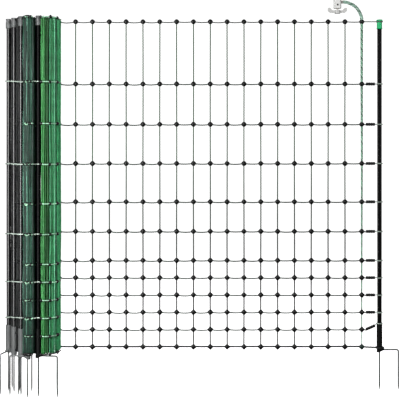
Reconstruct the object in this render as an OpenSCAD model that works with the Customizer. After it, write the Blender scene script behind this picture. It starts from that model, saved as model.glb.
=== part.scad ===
// Electrified poultry net: one panel spread out, the rest folded round its line posts.
// It stands on the tips of its spikes, at z = 0. The net's plane is parallel to X and Z.

/* [Net] */
// Distance between two vertical struts
column_pitch = 58; // [52:1:60]
// Height of each of the five lowest meshes
low_mesh_h = 59.5; // [55:0.5:62]
// Height of the top mesh
top_mesh_h = 214.5; // [190:0.5:230]
// Height of the bottom line above the tips of the spikes
bottom_line_z = 150; // [150:1:160]
// Width of a moulded knot
knot_d = 13; // [10:0.5:13]
// Diameter of a conductor line
conductor_d = 3.2; // [2:0.1:3.6]
// Diameter of the top line
top_line_d = 2.6; // [2:0.1:3]
// Diameter of the bottom line
bottom_line_d = 4; // [3:0.1:4.4]
// Diameter of a vertical strut
strut_d = 3; // [2:0.1:3.6]

/* [Riser] */
// Diameter of the twisted riser at the bottom
riser_low_d = 3; // [2:0.1:4]
// Diameter of the twisted riser at the top
riser_high_d = 6.8; // [5:0.1:8]
// Length of a crimp sleeve
crimp_length = 32; // [26:1:32]
// Diameter of a crimp sleeve
crimp_d = 8.4; // [7:0.2:9]

/* [Posts] */
// Diameter of a line post's rod
line_rod_d = 14; // [12:0.5:14.5]
// Diameter of the end post's rod
end_rod_d = 15.5; // [14:0.5:16]
// Outer diameter of the foot sleeve
foot_d = 19.5; // [19:0.1:20]
// Height of a foot sleeve above the tread bar
foot_h = 88; // [70:1:90]
// Distance between the two tines of a spike
tine_pitch = 65; // [60:1:65]
// Diameter of the spike's steel rod
tine_d = 5; // [4:0.2:5.6]
// Height of the tread bar above the tips of the spikes
bar_z = 140; // [132:1:140]
// Height of a post's cap
cap_h = 32; // [28:1:36]

/* [Bundle] */
// Half the width of the folded netting
bundle_half_w = 93; // [91:0.5:95]
// Half the depth of the folded netting
bundle_half_d = 71; // [70:0.5:73]

/* [Connector] */
// Diameter of the twisted feed lead
lead_d = 9; // [7:0.5:9]
// Span of the wing grip
wing_span = 66; // [50:1:68]
// Diameter of the port that takes the feed wire
port_d = 7; // [5:0.5:8]

/* [Hidden] */
$fn = 48;

// Netting: where its plane, rows and columns are
net_y = 55;
last_column_x = 552;
last_column = 18;
low_mesh_count = 5;
middle_meshes = [100, 102, 132, 135, 139];
row_gaps = concat([for (i = [1:low_mesh_count]) low_mesh_h], middle_meshes, [top_mesh_h]);
top_row = len(row_gaps);
function row_z(i) = i == 0 ? bottom_line_z : row_z(i - 1) + row_gaps[i - 1];
function column_x(i) = last_column_x - (last_column - i) * column_pitch;
top_z = row_z(top_row);

// The netting flexes at the first column of each of its three strips
strip_first = [1, 7, 13];
strip_last = [7, 13, last_column];
hinge_gap = 0.6;

// Posts: [x, y, direction of the tread bar in degrees]
end_post_x = 613;
line_posts = [
    [-662, 38, -104],
    [-638, 9, 106],
    [-607, -33, 66],
    [-626, 48, -83],
    [-546, -48, -8],
    [-580, -62, 163],
];
loop_gap = 0.5;
loop_extra_d = 0.4;
post_top_z = top_z + 7;
rod_top_z = post_top_z - 14;
rod_low_z = bar_z + 25;
shank_top_z = bar_z + 18;
tip_h = 14;
tip_d = 1;
corner_r = 6;

// Foot sleeve: its lowest edge is away from the bar, and a tongue clasps the bar
foot_low_z = bar_z - 9;
foot_slope = 18;
tongue_length = 16;
tongue_w = 11;
tongue_top_z = bar_z + 4.5;
foot_loop_z = bottom_line_z - 2.5;
first_loop_z = bar_z + foot_h + 3;

// Caps: a neck below the flange takes the top line's loop
neck_low_z = top_z - 2.5;
neck_high_z = top_z + 2.5;
neck_d = 15.8;
end_cap_d = 18;
end_flange_d = 21;
line_cap_d = 19.5;

// Crimp sleeves start this far right of the last column
crimp_start_x = last_column_x + 14;
crimp_end_x = crimp_start_x + crimp_length;
first_crimp_rise = 14;

// Folded netting, as packs side by side
bundle_x = -578;
bundle_y = -3;
bundle_low_z = bottom_line_z - 2;
bundle_h = top_z + 2 - bundle_low_z;
post_hole_d = 21.2;

// Feed lead, from the top knot of the last column to the connector
lead_route = [
    [552, 55, 1272], [551, 55, 1285], [547, 55, 1297], [541, 55, 1309], [533, 55, 1319],
    [523, 55, 1327], [511, 55, 1333], [499, 55, 1337], [487, 55, 1338],
];
lead_sides = 10;

// Connector
terminal_x = 468;
terminal_d = 27;
terminal_w = 22;
terminal_low_z = 1316;
terminal_high_z = 1352;
port_z = 1328;
ferrule_d = 10.4;
ferrule_x = [474, 487];
ferrule_z = 1338;
shank_d = 6;
clamp_travel = 4;
clamp_w = 8;
clamp_h = 2.4;
clamp_top_z = port_z - port_d / 2 - 0.4;
clamp_low_z = clamp_top_z - clamp_h - clamp_travel;
pocket_w = clamp_w + 0.6;
pocket_low_z = clamp_low_z - 0.3;
grip_low_z = 1298;
grip_h = 12;
hub_d = 19;
wing_t = 5;
wing_h = 20;
eye_w = 20;
eye_t = 2;
eye_hole_d = 10;
eye_top_z = 1386;
eye_low_z = 1344;

// A straight round rod between two points
module rod_between(p, q, d) {
    v = q - p;
    long = norm(v);
    translate(p)
        rotate([0, acos(v.z / long), atan2(v.y, v.x)])
            cylinder(h = long, d = d);
}

// A ring round a vertical axis
module ring(x, z, inner_d, strand_d) {
    translate([x, net_y, z])
        rotate_extrude()
            translate([(inner_d + strand_d) / 2, 0])
                circle(d = strand_d, $fn = 24);
}

// A tube swept along a route, as one closed surface
function unit(v) = v / norm(v);
function heading(route, i) =
    unit(route[min(i + 1, len(route) - 1)] - route[max(i - 1, 0)]);
function ring_point(route, i, d, a) =
    let (ahead = heading(route, i), side = [0, 1, 0], up = cross(ahead, side))
    route[i] + d / 2 * (cos(a) * side + sin(a) * up);
module tube(route, d, sides) {
    rings = len(route);
    points = [for (i = [0:rings - 1], k = [0:sides - 1]) ring_point(route, i, d, 360 * k / sides)];
    low_end = [[for (k = [0:sides - 1]) k]];
    high_end = [[for (k = [sides - 1:-1:0]) (rings - 1) * sides + k]];
    walls = [for (i = [0:rings - 2], k = [0:sides - 1])
        let (a = i * sides, b = a + sides, n = (k + 1) % sides)
        [a + n, a + k, b + k, b + n]];
    polyhedron(points, concat(low_end, walls, high_end));
}

// Netting

// One horizontal line of the net
module line_run(x0, x1, z, d) {
    rod_between([x0, net_y, z], [x1, net_y, z], d);
}

function strip_x0(s) = column_x(strip_first[s]) + knot_d / 2 + hinge_gap;
function strip_x1(s) = column_x(strip_last[s]);

module conductor_lines(s) {
    x1 = strip_last[s] == last_column ? crimp_start_x + 3 : strip_x1(s);
    color([0.08, 0.27, 0.16])
        for (i = [1:top_row - 1])
            line_run(strip_x0(s), x1, row_z(i), conductor_d);
}

// The top line ends in a loop round the neck of the end cap
module top_line(s) {
    loop_d = neck_d + 2 * loop_gap;
    loop_x = end_post_x - (loop_d + top_line_d) / 2;
    at_end = strip_last[s] == last_column;
    color([0.04, 0.1, 0.06]) {
        line_run(strip_x0(s), at_end ? loop_x : strip_x1(s), top_z, top_line_d);
        if (at_end)
            ring(end_post_x, top_z, loop_d, top_line_d + loop_extra_d);
    }
}

// The bottom line dips to a loop round the foot sleeve of the end post
module bottom_line(s) {
    loop_d = foot_d + 2 * loop_gap;
    loop_x = end_post_x - (loop_d + bottom_line_d) / 2;
    color([0.03, 0.03, 0.03]) {
        line_run(strip_x0(s), strip_x1(s) - 1, bottom_line_z, bottom_line_d);
        if (strip_last[s] == last_column) {
            start = [strip_x1(s) + 1, net_y, bottom_line_z];
            rod_between(start, [loop_x, net_y, foot_loop_z], bottom_line_d);
            ring(end_post_x, foot_loop_z, loop_d, bottom_line_d + loop_extra_d);
        }
    }
}

module strut(i) {
    translate([column_x(i), net_y, bottom_line_z])
        cylinder(h = top_z - bottom_line_z, d = strut_d);
}

// A moulded knot, as a stepped barrel round the crossing
module knot(i, row) {
    translate([column_x(i), net_y, row_z(row)]) {
        cylinder(h = knot_d * 0.6, d = knot_d, center = true, $fn = 8);
        cylinder(h = knot_d * 0.95, d = knot_d * 0.65, center = true, $fn = 8);
    }
}

module knot_column(i) {
    for (row = [0:top_row])
        knot(i, row);
}

module struts(s) {
    color([0.12, 0.45, 0.12])
        for (i = [strip_first[s] + 1:min(strip_last[s], last_column - 1)])
            strut(i);
}

module knots(s) {
    color([0.02, 0.02, 0.02])
        for (i = [strip_first[s] + 1:strip_last[s]])
            knot_column(i);
}

// The stretch between the bundle and the first flexing column
module inner_lines() {
    color([0.08, 0.27, 0.16]) {
        x0 = column_x(0) - 20;
        line_run(x0, column_x(1), bottom_line_z, bottom_line_d);
        line_run(x0, column_x(1), top_z, top_line_d);
        for (i = [1:top_row - 1])
            line_run(x0, column_x(1), row_z(i), conductor_d);
    }
}

module inner_columns() {
    color([0.12, 0.45, 0.12])
        for (i = [0:1]) {
            strut(i);
            knot_column(i);
        }
}

// Each conductor's tail turns up and is twisted in, so the riser grows from mesh to mesh
module edge_riser() {
    color([0.16, 0.42, 0.28])
        for (i = [0:top_row - 1])
            translate([last_column_x, net_y, row_z(i)])
                cylinder(h = row_gaps[i], d = riser_low_d + (riser_high_d - riser_low_d) * i / (top_row - 1));
}

// The lowest crimp sleeve slopes up, so that its loop clears the foot sleeve
module crimp_sleeves() {
    color([0.03, 0.03, 0.03])
        for (i = [1:top_row - 1]) {
            rise = i == 1 ? first_crimp_rise : 0;
            rod_between([crimp_start_x, net_y, row_z(i)],
                        [crimp_end_x, net_y, row_z(i) + rise], crimp_d);
        }
}

module post_loops() {
    loop_d = end_rod_d + 2 * loop_gap;
    stub_x = end_post_x - (loop_d + strut_d) / 2;
    color([0.55, 0.6, 0.56])
        for (i = [1:top_row - 1]) {
            z = i == 1 ? first_loop_z : row_z(i);
            start_z = i == 1 ? row_z(i) + first_crimp_rise : z;
            ring(end_post_x, z, loop_d, strut_d + loop_extra_d);
            rod_between([crimp_end_x - 1, net_y, start_z], [stub_x, net_y, z], strut_d);
        }
}

// Posts, each drawn round its own axis with the tread bar along +X

module rod(d) {
    color([0.02, 0.02, 0.02])
        translate([0, 0, rod_low_z])
            cylinder(h = rod_top_z - rod_low_z, d = d);
}

// Outline of a cap with a neck, from its lower edge to its flange
module cap(bore_d, body_d, flange_d, skirt_d) {
    low_z = post_top_z - cap_h;
    difference() {
        union() {
            translate([0, 0, low_z])
                cylinder(h = 3, d1 = skirt_d, d2 = body_d);
            translate([0, 0, low_z + 3])
                cylinder(h = neck_low_z - low_z - 3, d = body_d);
            translate([0, 0, neck_low_z])
                cylinder(h = neck_high_z - neck_low_z, d = neck_d);
            translate([0, 0, neck_high_z])
                cylinder(h = post_top_z - neck_high_z - 1, d = flange_d);
            translate([0, 0, post_top_z - 1])
                cylinder(h = 1, d1 = flange_d, d2 = flange_d - 2);
        }
        translate([0, 0, low_z - 1])
            cylinder(h = rod_top_z - low_z + 1, d = bore_d);
    }
}

// Double spike: a straight tine with a shank, a tread bar, a bend and a second tine
module spike() {
    color([0.55, 0.56, 0.57]) {
        cylinder(h = tip_h, d1 = tip_d, d2 = tine_d);
        translate([0, 0, tip_h])
            cylinder(h = shank_top_z - tip_h, d = tine_d);
        translate([0, 0, bar_z])
            rotate([0, 90, 0])
                cylinder(h = tine_pitch - corner_r, d = tine_d);
        translate([tine_pitch - corner_r, 0, bar_z - corner_r])
            rotate([90, 0, 0])
                rotate_extrude(angle = 90)
                    translate([corner_r, 0])
                        circle(d = tine_d);
        translate([tine_pitch, 0, tip_h])
            cylinder(h = bar_z - corner_r - tip_h, d = tine_d);
        translate([tine_pitch, 0, 0])
            cylinder(h = tip_h, d1 = tip_d, d2 = tine_d);
    }
}

// Foot sleeve: it joins the rod to the spike, and its lower end is cut on a slope
module foot(rod_d) {
    color([0.04, 0.04, 0.04])
        difference() {
            union() {
                translate([0, 0, foot_low_z])
                    cylinder(h = bar_z + foot_h - foot_low_z, d = foot_d);
                translate([0, -tongue_w / 2, foot_low_z])
                    cube([tongue_length, tongue_w, tongue_top_z - foot_low_z]);
            }
            translate([-foot_d / 2, -foot_d, foot_low_z])
                rotate([0, -foot_slope, 0])
                    translate([-foot_d, 0, -30])
                        cube([4 * foot_d, 2 * foot_d, 30]);
            translate([0, 0, rod_low_z])
                cylinder(h = foot_h, d = rod_d);
            translate([0, 0, foot_low_z - 1])
                cylinder(h = shank_top_z - foot_low_z + 1, d = tine_d);
            translate([0, 0, bar_z])
                rotate([0, 90, 0])
                    cylinder(h = tine_pitch, d = tine_d);
            translate([0, -tine_d / 2, foot_low_z - 1])
                cube([tine_pitch, tine_d, bar_z - foot_low_z + 1]);
        }
}

module at_end_post() {
    translate([end_post_x, net_y, 0])
        children();
}

module at_line_post(n) {
    translate([line_posts[n].x, line_posts[n].y, 0])
        rotate([0, 0, line_posts[n].z])
            children();
}

module end_cap() {
    color([0, 0.62, 0.33])
        cap(end_rod_d, end_cap_d, end_flange_d, end_flange_d);
}

module line_cap() {
    color([0.22, 0.22, 0.22])
        cap(line_rod_d, line_cap_d, line_cap_d, line_cap_d);
}

// Bundle of folded netting

// Rounded oval outline of the whole bundle
module bundle_outline() {
    n = 3;
    polygon([for (a = [0:7.5:352.5])
        [bundle_x + bundle_half_w * sign(cos(a)) * pow(abs(cos(a)), 2 / n),
         bundle_y + bundle_half_d * sign(sin(a)) * pow(abs(sin(a)), 2 / n)]]);
}

// The part of the bundle between two values of x, with room for the posts
module net_pack(x0, x1) {
    color([0.1, 0.35, 0.18])
        translate([0, 0, bundle_low_z])
            linear_extrude(bundle_h)
                difference() {
                    intersection() {
                        bundle_outline();
                        translate([x0, -200])
                            square([x1 - x0, 400]);
                    }
                    for (post = line_posts)
                        translate([post.x, post.y])
                            circle(d = post_hole_d);
                    children();
                }
}

// The outer left posts stand on the slanting front of this pack
module folded_net_left() {
    post = line_posts[0];
    net_pack(bundle_x - 100, -596)
        translate([post.x, post.y])
            rotate(-53)
                translate([-100, -200])
                    square([300, 200]);
}

module folded_net_middle() {
    net_pack(-595.5, -558);
}

module folded_net_back() {
    net_pack(-557.5, -534)
        translate([-600, -136])
            square([100, 100]);
}

module folded_net_right() {
    net_pack(-533.5, bundle_x + 100);
}

// Feed lead and connector

module feed_lead() {
    color([0.1, 0.4, 0.22])
        tube(lead_route, lead_d, lead_sides);
}

module lead_ferrule() {
    color([0.7, 0.7, 0.7])
        rod_between([ferrule_x[0], net_y, ferrule_z], [ferrule_x[1], net_y, ferrule_z], ferrule_d);
}

module terminal_body() {
    color([0.93, 0.93, 0.93])
        difference() {
            intersection() {
                translate([terminal_x, net_y, terminal_low_z])
                    cylinder(h = terminal_high_z - terminal_low_z, d = terminal_d);
                translate([terminal_x - terminal_d, net_y - terminal_w / 2, terminal_low_z])
                    cube([2 * terminal_d, terminal_w, terminal_high_z - terminal_low_z]);
            }
            translate([terminal_x, net_y + terminal_d, port_z])
                rotate([90, 0, 0])
                    cylinder(h = 2 * terminal_d, d = port_d);
            translate([terminal_x, net_y, terminal_low_z - 1])
                cylinder(h = port_z - terminal_low_z, d = shank_d + 0.1);
            translate([terminal_x - pocket_w / 2, net_y - pocket_w / 2, pocket_low_z])
                cube([pocket_w, pocket_w, port_z - pocket_low_z]);
            rod_between([ferrule_x[0], net_y, ferrule_z], [ferrule_x[1] + 10, net_y, ferrule_z], ferrule_d);
            translate([terminal_x - eye_w / 2, net_y - eye_t / 2, eye_low_z])
                cube([eye_w, eye_t, 30]);
        }
}

module eye_plate() {
    color([0.6, 0.58, 0.55])
        difference() {
            translate([terminal_x, net_y + eye_t / 2, 0])
                rotate([90, 0, 0])
                    linear_extrude(eye_t)
                        union() {
                            translate([-eye_w / 2, eye_low_z])
                                square([eye_w, eye_top_z - eye_w / 2 - eye_low_z]);
                            translate([0, eye_top_z - eye_w / 2])
                                circle(d = eye_w);
                        }
            translate([terminal_x, net_y + eye_t, eye_top_z - eye_w / 2])
                rotate([90, 0, 0])
                    cylinder(h = 2 * eye_t, d = eye_hole_d);
        }
}

module clamp_plate() {
    color([0.65, 0.65, 0.65])
        translate([terminal_x - clamp_w / 2, net_y - clamp_w / 2, clamp_low_z])
            cube([clamp_w, clamp_w, clamp_h]);
}

module screw_shank() {
    color([0.6, 0.6, 0.6])
        translate([terminal_x, net_y, grip_low_z + 3])
            cylinder(h = clamp_low_z - grip_low_z - 3, d = shank_d);
}

// One wing of the grip, rising outwards from the hub
module wing() {
    translate([0, wing_t / 2, 0])
        rotate([90, 0, 0])
            linear_extrude(wing_t)
                difference() {
                    polygon([[0, 1], [wing_span / 2 - 6, 4], [wing_span / 2, 9], [wing_span / 2, wing_h],
                             [wing_span / 2 - 8, wing_h], [wing_span / 2 - 16, grip_h - 1], [0, grip_h - 1]]);
                    translate([wing_span / 2 - 12, wing_h + 3])
                        circle(d = 8);
                }
}

module wing_grip() {
    color([0.95, 0.95, 0.95])
        translate([terminal_x, net_y, grip_low_z])
            difference() {
                union() {
                    cylinder(h = grip_h, d = hub_d);
                    wing();
                    mirror([1, 0, 0])
                        wing();
                }
                translate([0, 0, 3])
                    cylinder(h = grip_h, d = shank_d);
            }
}

folded_net_left();
folded_net_middle();
folded_net_back();
folded_net_right();
inner_lines();
inner_columns();
edge_riser();
crimp_sleeves();
post_loops();
at_end_post() rod(end_rod_d);  // end_rod
at_end_post() end_cap();
at_end_post() foot(end_rod_d);  // end_foot
at_end_post() spike();  // end_spike
feed_lead();
lead_ferrule();
terminal_body();
eye_plate();
clamp_plate();
wing_grip();
screw_shank();
for (s = [0:len(strip_first) - 1]) {
    top_line(s);
    conductor_lines(s);
    bottom_line(s);
    struts(s);
    knots(s);
}
for (n = [0:len(line_posts) - 1]) {
    at_line_post(n) rod(line_rod_d);
    at_line_post(n) line_cap();
    at_line_post(n) foot(line_rod_d);
    at_line_post(n) spike();
}
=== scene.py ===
"""Looks of an electrified poultry net: one panel spread out, the rest folded round its posts.

Lengths are metres in the row frame. The net's plane is parallel to X and Z, and the viewer
looks along +Y.
"""

import math

import bpy
import numpy as np
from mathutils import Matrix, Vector


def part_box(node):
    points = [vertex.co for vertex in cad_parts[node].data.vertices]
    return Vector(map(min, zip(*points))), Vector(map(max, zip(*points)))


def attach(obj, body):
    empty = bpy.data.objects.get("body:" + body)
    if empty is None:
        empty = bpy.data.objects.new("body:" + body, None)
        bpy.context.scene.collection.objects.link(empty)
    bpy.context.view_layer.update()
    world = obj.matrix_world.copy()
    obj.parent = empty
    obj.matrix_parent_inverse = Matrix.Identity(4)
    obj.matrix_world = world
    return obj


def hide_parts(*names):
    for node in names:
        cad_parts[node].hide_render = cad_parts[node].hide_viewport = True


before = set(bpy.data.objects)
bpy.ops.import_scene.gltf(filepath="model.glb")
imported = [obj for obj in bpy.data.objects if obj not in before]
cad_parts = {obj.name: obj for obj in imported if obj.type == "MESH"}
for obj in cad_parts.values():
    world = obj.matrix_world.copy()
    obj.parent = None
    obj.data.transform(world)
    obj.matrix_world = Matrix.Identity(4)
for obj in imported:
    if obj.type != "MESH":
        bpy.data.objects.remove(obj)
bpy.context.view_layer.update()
rng = np.random.default_rng(7)

# ---- The net's rows and columns, as the part's source has them ----
NET_Y = 0.055
PITCH = 0.058
LAST_COLUMN = 18
LAST_X = 0.552
ROW_GAPS = [0.0595] * 5 + [0.1, 0.102, 0.132, 0.135, 0.139, 0.2145]
ROW_Z = [0.15 + sum(ROW_GAPS[:i]) for i in range(len(ROW_GAPS) + 1)]
TOP_ROW = len(ROW_GAPS)
TOP_Z, BOTTOM_Z = ROW_Z[TOP_ROW], ROW_Z[0]
STRIPS = [(1, 7), (7, 13), (13, LAST_COLUMN)]
CONDUCTOR_R = 0.0024
TOP_LINE_R = 0.0021
BOTTOM_LINE_R = 0.0032
KNOT_R = 0.0085
LINE_STEP, STRUT_STEP = 0.0022, 0.003

# Twist of each kind of strand: how far every second side is pulled in, and the length of a turn
STRUT_TWIST = {"lobe": 0.82, "pitch": 0.027}
CONDUCTOR_TWIST = {"lobe": 0.82, "pitch": 0.02}
TOP_TWIST = {"lobe": 0.82, "pitch": 0.018}
BOTTOM_TWIST = {"lobe": 0.8, "pitch": 0.03}
END_LOOP_TWIST = {"lobe": 0.76, "pitch": 0.018}
POST_LOOP_TWIST = {"lobe": 0.76, "pitch": 0.014}
FOLDED_LINE_TWIST = {"lobe": 0.76, "pitch": 0.016}
FOLDED_STRUT_TWIST = {"lobe": 0.74, "pitch": 0.03}
RISER_TWIST = {"lobe": 0.9, "pitch": 0.02}
LEAD_TWIST = {"lobe": 0.93, "pitch": 0.012}

# The lines droop less towards the right: down to RIGHT_SAG_SHARE, DROOP_RUN past DROOP_LEFT_X
CONDUCTOR_SAG, TOP_SAG, BOTTOM_SAG = 0.0034, 0.0036, 0.0006
BOTTOM_LIFT = 0.0011
RIGHT_SAG_SHARE = 0.55
DROOP_LEFT_X, DROOP_RUN = -0.46, 1.0

# A strut is thin and green above STRUT_HIGH_Z, thick and black below STRUT_LOW_Z
STRUT_LOW_Z, STRUT_HIGH_Z = 0.39, 0.85
STRUT_LOW_R, STRUT_HIGH_R = 0.0026, 0.0022

# ---- Posts: x, y of each line post, and the end post ----
POSTS = [(-0.662, 0.038), (-0.638, 0.009), (-0.607, -0.033),
         (-0.626, 0.048), (-0.546, -0.048), (-0.580, -0.062)]
END_X = 0.613
END_ROD_R = 0.00775
LINE_ROD_R = 0.007
POST_CLEARANCE = 0.0132
NECK_R = 0.0079
FOOT_R = 0.00975
FOOT_LOOP_Z = 0.1475
FIRST_LOOP_Z = 0.231
CRIMP_START, CRIMP_END = 0.566, 0.598
CRIMP_R = 0.0055
FIRST_CRIMP_RISE = 0.014
CRIMP_OVERLAP = 0.004
LOOP_GAP = 0.0005
LOOP_STRAND_R = 0.0019

# ---- Folded bundle ----
BUNDLE_X, BUNDLE_Y = -0.578, -0.003
LEFT_W, RIGHT_W, HALF_D = 0.093, 0.099, 0.071
LAYER = 0.0029
NOTCH_Y = -0.0355
NOTCH_LEFT_X, NOTCH_RIGHT_X = -0.5595, -0.5325
BACK_Y, FRONT_Y = 0.0655, -0.0725
MARGIN = 0.0022
OUTER_LAYERS_FRONT, OUTER_LAYERS_BACK, OUTER_X = 4.5, 2.5, 0.012
FRONT_LINES_Y = FRONT_Y + 2.5 * LAYER
WIDE_SPACING = 0.01
FEW_KNOTS_X = -0.51
FOLDED_STRUT_R = 0.0017
FOLDED_RIM_R = 0.0016
FOLDED_KNOT_R = 0.0054
FOLDED_KNOT_LOBES = 0.06
FINE_RINGS, COARSE_RINGS = 150, 41
STRUT_SWAY = 0.0009

# Lines and knots laid across the front, as (x, whether it has a knot)
FRONT_ROW_LEFT = [(-0.588, False), (-0.5676, True), (-0.5602, False)]
FRONT_ROW_RIGHT = [(-0.5337, True), (-0.5038, True), (-0.4825, True), (-0.4765, False)]
FRONT_LIFT = 0.003
FRONT_BOW = 0.0022

# The outer posts stand in a slanting line. Direction of that line in plan, and the way across it
SLANT_ALONG, SLANT_ACROSS = (0.6018, -0.7986), (0.7986, 0.6018)
SLANT_SLOPE, SLANT_END_X = 0.7536, -0.5945
SLANT_OFFSET = 0.0155

# Where the folds' painted light and shade change, the valleys between them that get painted shade,
# and the last fold's painted light
DARK_X, GREEN_X = -0.606, -0.545
FOLD_VALLEYS = (-0.5385, -0.509, -0.4865)
VALLEY_HALF_WIDTH = 0.0017
VALLEY_SHADE, LAST_FOLD_PAINTED_LIGHT = 0.25, 2.4

# Depth at which the ties keep their row's height
TIE_FRONT_Y = -0.052

# ---- Feed lead ----
LEAD_ROUTE = [(0.552, 0.055, 1.272), (0.551, 0.055, 1.285), (0.547, 0.055, 1.297),
              (0.541, 0.055, 1.309), (0.533, 0.055, 1.319), (0.523, 0.055, 1.327),
              (0.511, 0.055, 1.333), (0.499, 0.055, 1.337), (0.487, 0.055, 1.338)]
LEAD_R = 0.005
LEAD_LAY, RISER_LAY = 0.036, 0.032
RISER_LOW_R, RISER_HIGH_R = 0.0021, 0.0052


def column_x(i):
    return LAST_X - (LAST_COLUMN - i) * PITCH


def linear(colour):
    """An 8-bit sRGB colour as linear numbers."""
    c = np.asarray(colour, float) / 255
    return np.where(c <= 0.04045, c / 12.92, ((c + 0.055) / 1.055) ** 2.4)


def mix(a, b, t):
    return a + (b - a) * t


# ---- Camera ----

CAMERA_PLACE = (-0.0055, -3.445, 0.828)
CAMERA_LENS, CAMERA_SENSOR, CAMERA_SHIFT = 91.4, 36, -0.125


def add_camera():
    """A level camera that looks along +Y."""
    data = bpy.data.cameras.new("camera")
    data.lens = CAMERA_LENS
    data.sensor_width = CAMERA_SENSOR
    data.shift_y = CAMERA_SHIFT
    camera = bpy.data.objects.new("camera", data)
    camera.location = CAMERA_PLACE
    camera.rotation_euler = (math.pi / 2, 0, 0)
    bpy.context.scene.collection.objects.link(camera)
    bpy.context.scene.camera = camera


add_camera()


# ---- Meshes ----

def smooth_path(points, steps):
    """Catmull-Rom curve through the points, with so many steps between two of them."""
    p = np.asarray(points, float)
    p = np.vstack([2 * p[0] - p[1], p, 2 * p[-1] - p[-2]])
    out = []
    for before, a, b, after in zip(p, p[1:], p[2:], p[3:]):
        for t in np.arange(steps) / steps:
            out.append(0.5 * (2 * a + (b - before) * t
                              + (2 * before - 5 * a + 4 * b - after) * t * t
                              + (3 * a - before - 3 * b + after) * t ** 3))
    out.append(p[-2])
    return np.array(out)


def straight(a, b, count):
    """Points along a straight line, both ends included."""
    t = np.linspace(0, 1, count)[:, None]
    return np.array(a) * (1 - t) + np.array(b) * t


def path_frame(points, ref):
    """Length so far and two directions across the path, at each of its points."""
    ahead = np.gradient(points, axis=0)
    ahead /= np.linalg.norm(ahead, axis=1)[:, None]
    side = np.cross(ahead, ref)
    side /= np.linalg.norm(side, axis=1)[:, None]
    up = np.cross(side, ahead)
    steps = np.linalg.norm(np.diff(points, axis=0), axis=1)
    return np.concatenate([[0], np.cumsum(steps)]), side, up


def helix(points, radius, pitch, phase, ref):
    """The path of one strand that winds round another path."""
    along, side, up = path_frame(points, ref)
    angle = phase + 2 * math.pi * along / pitch
    r = np.broadcast_to(radius, len(points))[:, None]
    return points + r * (np.cos(angle)[:, None] * side + np.sin(angle)[:, None] * up)


TUBE_END_SHARE = 0.04


class Batch:
    """Tubes and lumps gathered into one mesh. Each vertex has a tint and a place on its strand."""

    def __init__(self):
        self.verts, self.faces, self.tints, self.places = [], [], [], []
        self.count = 0

    def add(self, verts, faces, tint, places=None):
        self.verts.append(verts)
        self.faces.append(np.asarray(faces) + self.count)
        self.tints.append(np.broadcast_to(tint, (len(verts), 3)))
        self.places.append(np.zeros((len(verts), 3)) if places is None else places)
        self.count += len(verts)

    def tube(self, points, radius, tint, sides=6, lobe=1.0, pitch=None, ref=(0, 1, 0)):
        """A twine along a path. lobe under 1 pulls every second side in, and pitch twists it.

        ref is any direction that the path never runs along. The ends close to almost a point.
        """
        points = np.asarray(points, float)
        along, side, up = path_frame(points, ref)
        n = len(points)
        turn = 2 * math.pi * along / pitch if pitch else np.zeros(n)
        steps = np.arange(sides)
        angle = turn[:, None] + 2 * math.pi * steps / sides
        r = np.broadcast_to(radius, n)[:, None] * np.where(steps % 2, lobe, 1.0)
        across = (np.cos(angle)[..., None] * side[:, None]
                  + np.sin(angle)[..., None] * up[:, None])
        rings = points[:, None] + r[..., None] * across
        start = points[0] + TUBE_END_SHARE * (rings[0] - points[0])
        end = points[-1] + TUBE_END_SHARE * (rings[-1] - points[-1])
        rings = np.concatenate([start[None], rings, end[None]])
        ring, k = np.meshgrid(np.arange(n + 1), steps, indexing="ij")
        a = ring * sides + k
        b = ring * sides + (k + 1) % sides
        faces = np.stack([a, b, b + sides, a + sides], -1).reshape(-1, 4)
        if np.ndim(tint) == 2:
            tint = np.repeat(np.vstack([tint[:1], tint, tint[-1:]]), sides, axis=0)
        far = np.concatenate([[0], along, along[-1:]])
        places = np.zeros((n + 2, sides, 3))
        places[..., 0] = far[:, None]
        places[..., 1] = steps / sides
        places[..., 2] = rng.random()
        self.add(rings.reshape(-1, 3), faces, tint, places.reshape(-1, 3))

    def make_mesh(self, name):
        verts = np.concatenate(self.verts)
        faces = np.concatenate(self.faces)
        mesh = bpy.data.meshes.new(name)
        mesh.vertices.add(len(verts))
        mesh.vertices.foreach_set("co", verts.ravel())
        mesh.loops.add(faces.size)
        mesh.loops.foreach_set("vertex_index", faces.ravel())
        mesh.polygons.add(len(faces))
        mesh.polygons.foreach_set("loop_start", np.arange(len(faces)) * 4)
        mesh.polygons.foreach_set("use_smooth", np.ones(len(faces), bool))
        mesh.update(calc_edges=True)
        tint = mesh.attributes.new("tint", "FLOAT_COLOR", "POINT")
        colours = np.ones((len(verts), 4))
        colours[:, :3] = np.concatenate(self.tints)
        tint.data.foreach_set("color", colours.ravel())
        place = mesh.attributes.new("place", "FLOAT_VECTOR", "POINT")
        place.data.foreach_set("vector", np.concatenate(self.places).ravel())
        return mesh

    def build(self, name, material, body, nodes, slot):
        """Makes the piece, which rides on body and stands for the CAD nodes."""
        mesh = self.make_mesh(name)
        mesh.materials.append(material)
        piece = bpy.data.objects.new(name, mesh)
        bpy.context.scene.collection.objects.link(piece)
        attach(piece, body)
        if nodes:
            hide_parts(*nodes)
        return piece


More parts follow.
